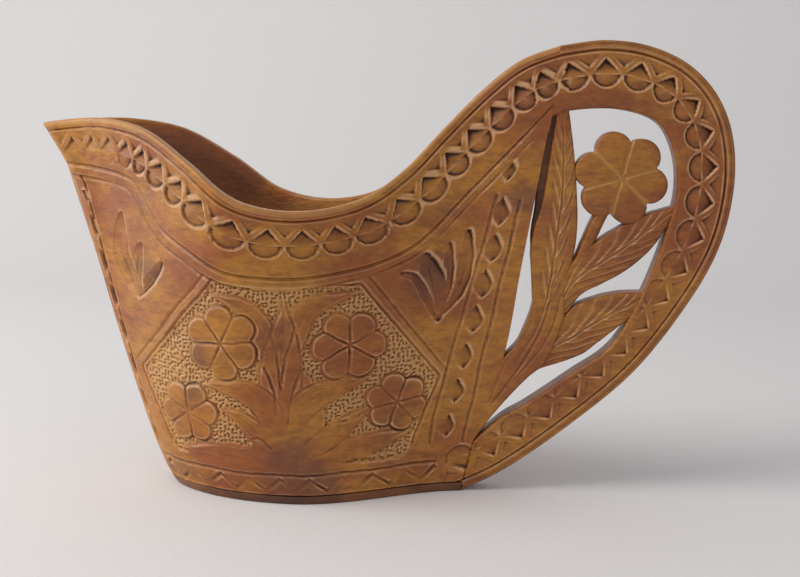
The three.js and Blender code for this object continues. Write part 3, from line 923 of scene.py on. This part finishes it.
def flower():
    """Six round petals cut free all round, with V cuts between them that meet at the middle. The outline
    is the outer arc of a circle of the petal's radius, turned six times about the flower's middle."""
    centre, petal_at, petal_radius, half = np.array([58.3, 82.2]), 7.2, 4.65, SLAB_HALF - 0.2
    angle = np.linspace(0, 2 * np.pi, 361)[:-1]
    turned = ((angle - math.radians(46.5)) / (np.pi / 3) + 0.5) % 1 - 0.5
    swing = turned * np.pi / 3
    outline = petal_at * np.cos(swing) + np.sqrt(petal_radius**2 - (petal_at * np.sin(swing)) ** 2)
    share = np.r_[0, np.linspace(0.02, 0.93, 26), 0.955, 0.975, 0.99, 1.0]
    reach = outline[:, None] * share
    seam = reach * np.sin(np.pi / 6 - np.abs(swing))[:, None]
    lines = cut(seam, 0.6, 0.7) * ease(reach, 0.2, 1.2)
    height = lines - 0.25 * (1 - ease(reach, 0.0, 2.0))
    depth = half + height - rounding(outline[:, None] - reach, 0.7) - 0.35 * share**3
    x = centre[0] + reach * np.cos(angle)[:, None]
    z = centre[1] + reach * np.sin(angle)[:, None]
    face = np.stack([x, -depth, z], -1)
    face[:, 0, 1] = face[:, 0, 1].mean()
    grid = np.concatenate([face, drawn_in(face[:, -1:], [0])], axis=1)
    # Pale seams: fresh wood, partly a painted highlight along the cut lines.
    fresh = 1.6 * ease(-lines, 0.05, 0.35)
    height, fresh = (np.pad(values, ((0, 0), (0, 1))) for values in (height, fresh))
    return shell("flower", grid, mirrored(grid), height, fresh, round_trip=True)


def slot_web():
    """Wood left uncut deep in the upper end of the slot between the bowl and the tall leaf."""
    left = [(37.9, 57), (36.3, 64), (36.2, 68.7), (37.0, 74.6), (37.1, 79.8), (37.3, 85), (39.4, 99)]
    right = [(39.4, 57), (38.8, 64), (38.9, 68.7), (39.9, 74.6), (40.7, 79.8), (41.3, 85), (43, 99)]
    left_edge, right_edge = walk(spline(left, 48), 60), walk(spline(right, 48), 60)
    return slab_body("slot_web", left_edge, right_edge, 2.2, uncarved, 0.5, 10)


# ---------- the ember dish ----------

def lathe(name, profile, sides, centre_x):
    """Profile in radius and height carried round an upright axis, x by the cosine and y by the sine."""
    turn = np.linspace(0, 2 * np.pi, sides + 1)[:-1]
    radius, height = profile.T
    x = centre_x + radius * np.cos(turn)[:, None]
    y = radius * np.sin(turn)[:, None]
    z = np.repeat(height[None], sides, 0)
    ring = np.stack([x, y, z], -1)
    middle = ring.shape[1] // 2
    return shell(name, ring[:, :middle], ring[:, middle:][:, ::-1], round_trip=True, sharp=50)


def ember_dish():
    """Beaten brass dish: a flat foot, rounded bilge, upright wall and a rolled lip."""
    outer = spline([(0, 0), (9.2, 0), (11.4, 0.5), (13.4, 2.6), (14.4, 6.6), (15, 12.2), (16.0, 14.2)], 60)
    lip_turn = np.linspace(-0.9, np.pi - 0.3, 12)
    lip = np.stack([16.1 + 0.85 * np.cos(lip_turn), 14.9 + 0.85 * np.sin(lip_turn)], -1)
    inner = spline([(14.0, 13.4), (13.4, 8.2), (12.3, 4.2), (9.6, 1.7), (7.6, 1.25), (0, 1.2)], 60)
    profile = np.vstack([outer, lip, inner]) + np.array([0, DISH_FOOT])
    return lathe("ember_dish", profile, 128, DISH_X)


# ---------- finishes ----------

# Colours of cutting and handling, as display values. The fresh and rubbed colours also paint highlights,
# and the dirt colour also paints shade in the cuts.
FRESH_WOOD_AND_HIGHLIGHT, RUBBED_WOOD_AND_HIGHLIGHT = (208, 158, 92), (226, 180, 136)
INSIDE_WOOD, WAX_DIRT_AND_SHADE = (104, 56, 28), (58, 28, 12)


class Nodes:
    """Short way to add nodes to one tree and link them."""

    def __init__(self, tree):
        self.tree = tree

    def add(self, kind, settings=None, **inputs):
        node = self.tree.nodes.new(kind)
        for key, value in (settings or {}).items():
            setattr(node, key, value)
        for key, value in inputs.items():
            self.put(node, key, value)
        return node

    def put(self, node, key, value):
        """Link a socket to an input, or set the input's own value."""
        socket = node.inputs[int(key)] if str(key).isdigit() else node.inputs[key]
        if isinstance(value, bpy.types.NodeSocket):
            self.tree.links.new(value, socket)
        else:
            socket.default_value = value

    def math(self, operation, a, b, clamp=False):
        node = self.add("ShaderNodeMath", {"operation": operation, "use_clamp": clamp})
        self.put(node, 0, a)
        self.put(node, 1, b)
        return node.outputs[0]

    def blend(self, factor, a, b):
        node = self.add("ShaderNodeMix", {"data_type": "RGBA"})
        self.put(node, 0, factor)
        self.put(node, 6, a)
        self.put(node, 7, b)
        return node.outputs[2]

    def span(self, value, low, high):
        """Smooth step from 0 at low to 1 at high."""
        node = self.add("ShaderNodeMapRange", {"interpolation_type": "SMOOTHSTEP"})
        self.put(node, 0, value)
        self.put(node, 1, low)
        self.put(node, 2, high)
        return node.outputs[0]

    def noise(self, vector, scale, detail=3.0, rough=0.55):
        node = self.add("ShaderNodeTexNoise", {}, Scale=scale, Detail=detail, Roughness=rough)
        self.put(node, "Vector", vector)
        return node.outputs[0]

    def placed(self, vector, turn=(0, 0, 0), scale=(1, 1, 1), move=(0, 0, 0)):
        node = self.add("ShaderNodeMapping", {})
        self.put(node, "Vector", vector)
        self.put(node, "Rotation", turn)
        self.put(node, "Scale", scale)
        self.put(node, "Location", move)
        return node.outputs[0]


def effect_group(name, inlet, kind, outlets):
    """A shader node group with one input and several number outputs, and what is needed to fill it."""
    group = bpy.data.node_groups.new(name, "ShaderNodeTree")
    group.interface.new_socket(name=inlet, socket_type=kind, in_out="INPUT")
    for outlet in outlets:
        group.interface.new_socket(name=outlet, socket_type="NodeSocketFloat", in_out="OUTPUT")
    n = Nodes(group)
    return group, n, n.add("NodeGroupInput").outputs[inlet], n.add("NodeGroupOutput")


# Dark stains in the wood: x and z of the middle, and the radius
SMUDGES = [
    (-20, 8, 15), (-25, 45, 8), (11, 56, 10), (35, 76, 8), (3, 18, 9), (-59, 57, 8), (-45, 38, 7),
    (-47, 29, 6),
]


def grain_group():
    """Wood's own pattern in object space, with some painted shade: grain that runs with the length,
    drifting stain, short pores, smudges in their own places, a darkening low down, and a mottle that grows
    towards the handle with a painted shade there."""
    outlets = ("Grain", "Stain", "Pores", "Smudge", "Mottle")
    group, n, vector, out = effect_group("wood_grain", "Vector", "NodeSocketVector", outlets)
    flat = n.placed(vector, scale=(1, 0, 1))
    smudge = 0.0
    for x, z, radius in SMUDGES:
        away = n.add("ShaderNodeVectorMath", {"operation": "DISTANCE"})
        n.put(away, 0, flat)
        n.put(away, 1, (PLACE_X + x * MM, 0, z * MM))
        spot = n.span(n.math("DIVIDE", away.outputs["Value"], radius * MM), 1.0, 0.1)
        smudge = n.math("MAXIMUM", smudge, spot)
    place = n.add("ShaderNodeSeparateXYZ", {}, Vector=vector)
    # Darker towards the bottom, added into the smudges.
    low = n.span(place.outputs["Z"], 13 * MM, 1 * MM)
    # Darker towards the handle: partly the wood's own tone, partly painted shade where the light falls off.
    aft = n.span(place.outputs["X"], -10 * MM, 60 * MM)
    cloud = n.noise(n.placed(vector, (0.4, 0.6, 0.2), (1, 0.4, 1.5), (0.013, 0, 0.021)), 70.0, 4.0, 0.65)
    smudge = n.math("ADD", smudge, n.math("MULTIPLY", low, 0.4))
    smudge = n.math("ADD", n.math("MULTIPLY", smudge, 0.3), cloud)
    pores = n.noise(n.placed(vector, (0, 0.35, 0), (1, 1, 9)), 420.0, 2.0, 0.5)
    mottle = n.noise(n.placed(vector, (0.3, 0.5, 0.2), (1, 1, 2.0)), 330.0, 4.0, 0.7)
    n.put(out, "Grain", n.noise(n.placed(vector, (0.2, 0.5, 0.1), (1, 1, 5)), 95.0, 5.0, 0.6))
    n.put(out, "Stain", n.noise(n.placed(vector, (0.1, 0.9, 0.3), (1, 0.4, 1.7)), 34.0, 4.0, 0.6))
    n.put(out, "Pores", n.span(pores, 0.56, 0.7))
    n.put(out, "Smudge", n.span(smudge, 0.54, 0.84))
    n.put(out, "Mottle", n.math("ADD", n.span(mottle, 0.4, 0.66), aft))
    return group


def patina_group():
    """Handling and painted light: dark wax and dust in the cuts with painted shade in the creases, rubbed
    edges with a painted highlight on the ridges, pale fresh cuts partly painted as highlights, and the
    darker inside of the hollow, from the values that the carving leaves on each point."""
    outlets = ("Dirt", "Rub", "Fresh", "Inside")
    group, n, strength, out = effect_group("carving_patina", "Dirt Strength", "NodeSocketFloat", outlets)
    crease, depth, fresh, inside = (
        n.add("ShaderNodeAttribute", {"attribute_name": label}).outputs["Fac"]
        for label in ("crease", "cut_depth", "fresh", "inside")
    )
    strength = n.math("MULTIPLY", strength, n.math("SUBTRACT", 1.0, n.math("MULTIPLY", fresh, 0.6), True))
    # Darker in creases and deep cuts: partly wax dirt, partly painted shade where the cuts lie in shade.
    dirt_and_shade = n.math("ADD", n.span(crease, 0.02, 0.24), n.math("MULTIPLY", n.span(depth, 0.2, 1.2), 0.35))
    n.put(out, "Dirt", n.math("MULTIPLY", dirt_and_shade, strength, True))
    # Lighter on ridges: rubbed wear, and a painted highlight where the ridges face the light.
    n.put(out, "Rub", n.span(n.math("MULTIPLY", crease, -1.0), 0.02, 0.16))
    # Pale cuts: fresh wood on the ground, and a painted highlight on the lip, the leaves' cuts and the
    # flower's seams.
    n.put(out, "Fresh", fresh)
    n.put(out, "Inside", inside)
    return group


def principled(name):
    """A new material, its nodes and its shader."""
    material = bpy.data.materials.new(name)
    material.use_nodes = True
    return material, Nodes(material.node_tree), material.node_tree.nodes["Principled BSDF"]


def shade(red, green, blue):
    """A colour given as display values from 0 to 255, made linear."""
    values = [c / 255 for c in (red, green, blue)]
    return tuple(c / 12.92 if c <= 0.04045 else ((c + 0.055) / 1.055) ** 2.4 for c in values) + (1.0,)


def wood(name, light, middle, dark, smudge, groups, dirt_and_shade=0.8, gloss=0.35):
    """Oiled and waxed carved wood: its own figure first, then the marks of cutting and handling."""
    material, n, shader = principled(name)
    grain_node, patina_node = groups
    vector = n.add("ShaderNodeTexCoord").outputs["Object"]
    grain = n.add("ShaderNodeGroup", {"node_tree": grain_node})
    n.put(grain, "Vector", vector)
    patina = n.add("ShaderNodeGroup", {"node_tree": patina_node})
    n.put(patina, "Dirt Strength", dirt_and_shade)
    base = n.blend(n.span(grain.outputs["Stain"], 0.40, 0.60), middle, light)
    for mask, strength, colour in (
        (n.span(grain.outputs["Grain"], 0.48, 0.72), 0.4, dark),
        (grain.outputs["Smudge"], 0.6, smudge),
        (grain.outputs["Pores"], 0.3, dark),
        # Mottle, with painted shade darkening towards the handle
        (grain.outputs["Mottle"], 0.28, dark),
        # Fresh pale wood, partly a painted highlight on the lip, leaves and flower
        (patina.outputs["Fresh"], 0.45, shade(*FRESH_WOOD_AND_HIGHLIGHT)),
        (patina.outputs["Inside"], 0.6, shade(*INSIDE_WOOD)),
        # Wax dirt, with painted shade in the creases and deep cuts
        (patina.outputs["Dirt"], 1.0, shade(*WAX_DIRT_AND_SHADE)),
        # Rubbed ridges, with a painted highlight on them
        (patina.outputs["Rub"], 0.6, shade(*RUBBED_WOOD_AND_HIGHLIGHT)),
    ):
        base = n.blend(n.math("MULTIPLY", mask, strength), base, colour)
    n.put(shader, "Base Color", base)
    rough = n.math("ADD", gloss, n.math("MULTIPLY", grain.outputs["Grain"], 0.2))
    n.put(shader, "Roughness", n.math("ADD", rough, n.math("MULTIPLY", patina.outputs["Dirt"], 0.2)))
    shader.inputs["Coat Weight"].default_value = 0.2
    shader.inputs["Coat Roughness"].default_value = 0.25
    shader.inputs["Specular IOR Level"].default_value = 0.4
    tool = n.noise(n.placed(vector, (0, 0.2, 0), (1, 1, 0.6)), 260.0, 2.0, 0.5)
    height = n.math("ADD", n.math("MULTIPLY", grain.outputs["Grain"], 0.5), n.math("MULTIPLY", tool, 0.8))
    for outlet in ("Mottle", "Pores"):
        height = n.math("SUBTRACT", height, n.math("MULTIPLY", grain.outputs[outlet], 0.25))
    bump = n.add("ShaderNodeBump", {}, Strength=0.5, Distance=0.0005, Height=height)
    n.put(shader, "Normal", bump.outputs[0])
    return material


def brass(name):
    """Dull brass with a smoky heat stain and fine turning marks."""
    material, n, shader = principled(name)
    vector = n.add("ShaderNodeTexCoord").outputs["Object"]
    stain = n.noise(vector, 60.0, 4.0, 0.6)
    base = n.blend(n.span(stain, 0.42, 0.68), shade(176, 138, 72), shade(112, 82, 46))
    n.put(shader, "Base Color", base)
    shader.inputs["Metallic"].default_value = 1.0
    n.put(shader, "Roughness", n.math("ADD", 0.26, n.math("MULTIPLY", stain, 0.25)))
    marks = n.noise(n.placed(vector, scale=(1, 1, 14)), 300.0, 2.0)
    bump = n.add("ShaderNodeBump", {}, Strength=0.15, Distance=0.0002, Height=marks)
    n.put(shader, "Normal", bump.outputs[0])
    return material


# ---------- floor, light and camera ----------

def studio():
    """Pale cloth-like floor that sweeps up in a quarter circle into a backdrop, sizes in metres."""
    half_width, front_edge, bend_start, radius, backdrop_top = 0.9, -0.7, 0.35, 0.35, 1.4
    width = np.linspace(-half_width, half_width, 3)
    bend = np.linspace(0, np.pi / 2, 24)
    depth = np.r_[front_edge, bend_start, bend_start + radius * np.sin(bend), bend_start + radius]
    rise = np.r_[0, 0, radius * (1 - np.cos(bend)), backdrop_top]
    x, y = np.meshgrid(width, depth, indexing="ij")
    z = np.repeat(rise[None], width.size, 0)
    index = np.arange(x.size).reshape(x.shape)
    faces = np.stack([index[:-1, :-1], index[1:, :-1], index[1:, 1:], index[:-1, 1:]], -1).reshape(-1, 4)
    mesh = bpy.data.meshes.new("studio_floor")
    mesh.from_pydata(np.stack([x, y, z], -1).reshape(-1, 3), [], faces.tolist())
    mesh.shade_smooth()
    floor = bpy.data.objects.new("studio_floor", mesh)
    bpy.context.collection.objects.link(floor)
    material, n, shader = principled("pale_cloth")
    vector = n.add("ShaderNodeTexCoord").outputs["Object"]
    thread = n.noise(n.placed(vector, scale=(1, 4, 1)), 900.0, 2.0)
    n.put(shader, "Base Color", n.blend(thread, shade(226, 223, 221), shade(236, 233, 232)))
    shader.inputs["Roughness"].default_value = 0.9
    bump = n.add("ShaderNodeBump", {}, Strength=0.25, Distance=0.0004, Height=thread)
    n.put(shader, "Normal", bump.outputs[0])
    mesh.materials.append(material)


# Soft lamps: where each hangs, what it points at, its width, power and colour, in metres and watts
LAMPS = {
    "key": ((-0.58, -0.32, 0.66), (0, 0, 0.05), 0.6, 4.7, (1.0, 0.98, 0.96)),
    "side": ((-0.75, 0.02, 0.22), (-0.03, 0, 0.05), 0.4, 1.5, (1.0, 0.98, 0.95)),
    "fill": ((0.6, -0.7, 0.35), (0, 0, 0.05), 0.6, 0.3, (0.95, 0.97, 1.0)),
}


def area_light(name, place, target, size, power, colour):
    """A round lamp turned towards its target."""
    light = bpy.data.lights.new(name, "AREA")
    light.shape = "DISK"
    light.size = size
    light.energy = power
    light.color = colour
    lamp = bpy.data.objects.new(name, light)
    lamp.location = place
    aim = np.array(target) - np.array(place)
    lamp.rotation_euler = Vector(aim).to_track_quat("-Z", "Y").to_euler()
    bpy.context.collection.objects.link(lamp)


def camera():
    """The viewpoint: a little right of square on, slightly above, and turned one degree."""
    azimuth, elevation, roll = math.radians(4), math.radians(8), math.radians(1)
    distance, focus_x, focus_z = 0.3247, 2.9, 52.3
    lens, sensor_width, nearest = 56.25, 36, 0.01
    level = math.cos(elevation)
    back = np.array([math.sin(azimuth) * level, -math.cos(azimuth) * level, math.sin(elevation)])
    right = np.cross(-back, [0, 0, 1])
    right /= np.linalg.norm(right)
    up = np.cross(right, -back)
    x_axis = math.cos(roll) * right + math.sin(roll) * up
    y_axis = math.cos(roll) * up - math.sin(roll) * right
    target = np.array([PLACE_X + focus_x * MM, 0, focus_z * MM])
    data = bpy.data.cameras.new("camera")
    data.sensor_width = sensor_width
    data.lens = lens
    data.clip_start = nearest
    view = bpy.data.objects.new("camera", data)
    place = target + distance * back
    matrix = np.eye(4)
    matrix[:3, 0], matrix[:3, 1], matrix[:3, 2], matrix[:3, 3] = x_axis, y_axis, back, place
    view.matrix_world = Matrix(matrix.tolist())
    bpy.context.collection.objects.link(view)
    bpy.context.scene.camera = view


def world():
    """Even, slightly cool light from all round."""
    sky = bpy.data.worlds.new("soft_room")
    sky.use_nodes = True
    background = sky.node_tree.nodes["Background"]
    background.inputs["Color"].default_value = (0.93, 0.95, 1.0, 1)
    background.inputs["Strength"].default_value = 0.46
    bpy.context.scene.world = sky


# ---------- assembly ----------

def finish(piece, material, slot, body, *nodes):
    """Give a piece its material and its body, and hide the frame's nodes that it replaces. The slot is not
    used.
    """
    piece.data.materials.append(material)
    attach(piece, body)
    if nodes:
        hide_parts(*nodes)


camera()
world()
studio()
for lamp_name, settings in LAMPS.items():
    area_light(lamp_name, *settings)
bpy.context.scene.view_settings.view_transform = "Standard"

groups = (grain_group(), patina_group())
carved = wood(
    "carved_wood", shade(186, 122, 36), shade(158, 86, 28), shade(100, 50, 22), shade(98, 60, 46), groups)
# A darker copy of the carved wood. On the foot it is the foot's darker colour; on the slot's web it is
# painted shade deep in the slot.
foot = wood(
    "foot_wood", shade(134, 80, 38), shade(106, 58, 30), shade(72, 40, 22), shade(66, 40, 34), groups,
    gloss=0.42)
dish_metal = brass("dish_brass")

finish(bowl_core(), carved, "carved_wood", "vessel", "bowl")
finish(carved_side("carved_side_near"), carved, "carved_wood", "vessel")
finish(carved_side("carved_side_far", far=True), carved, "carved_wood", "vessel")
finish(foot_plate(), foot, "foot_wood", "vessel", "base_plate")
finish(handle_loop(), carved, "carved_wood", "vessel", "handle_loop")
finish(leaf_trunk(), carved, "carved_wood", "vessel", "leaf_trunk")
finish(tall_leaf(), carved, "carved_wood", "vessel", "tall_leaf")
finish(middle_leaf(), carved, "carved_wood", "vessel", "middle_leaf")
finish(lower_leaf(), carved, "carved_wood", "vessel", "lower_leaf")
finish(flower(), carved, "carved_wood", "vessel", "flower")
finish(flower_stem(), carved, "carved_wood", "vessel", "flower_stem")
# The web takes the darker wood as painted shade, for its place deep in the narrow slot.
finish(slot_web(), foot, "foot_wood", "vessel")
finish(ember_dish(), dish_metal, "dish_brass", "dish", "ember_dish")
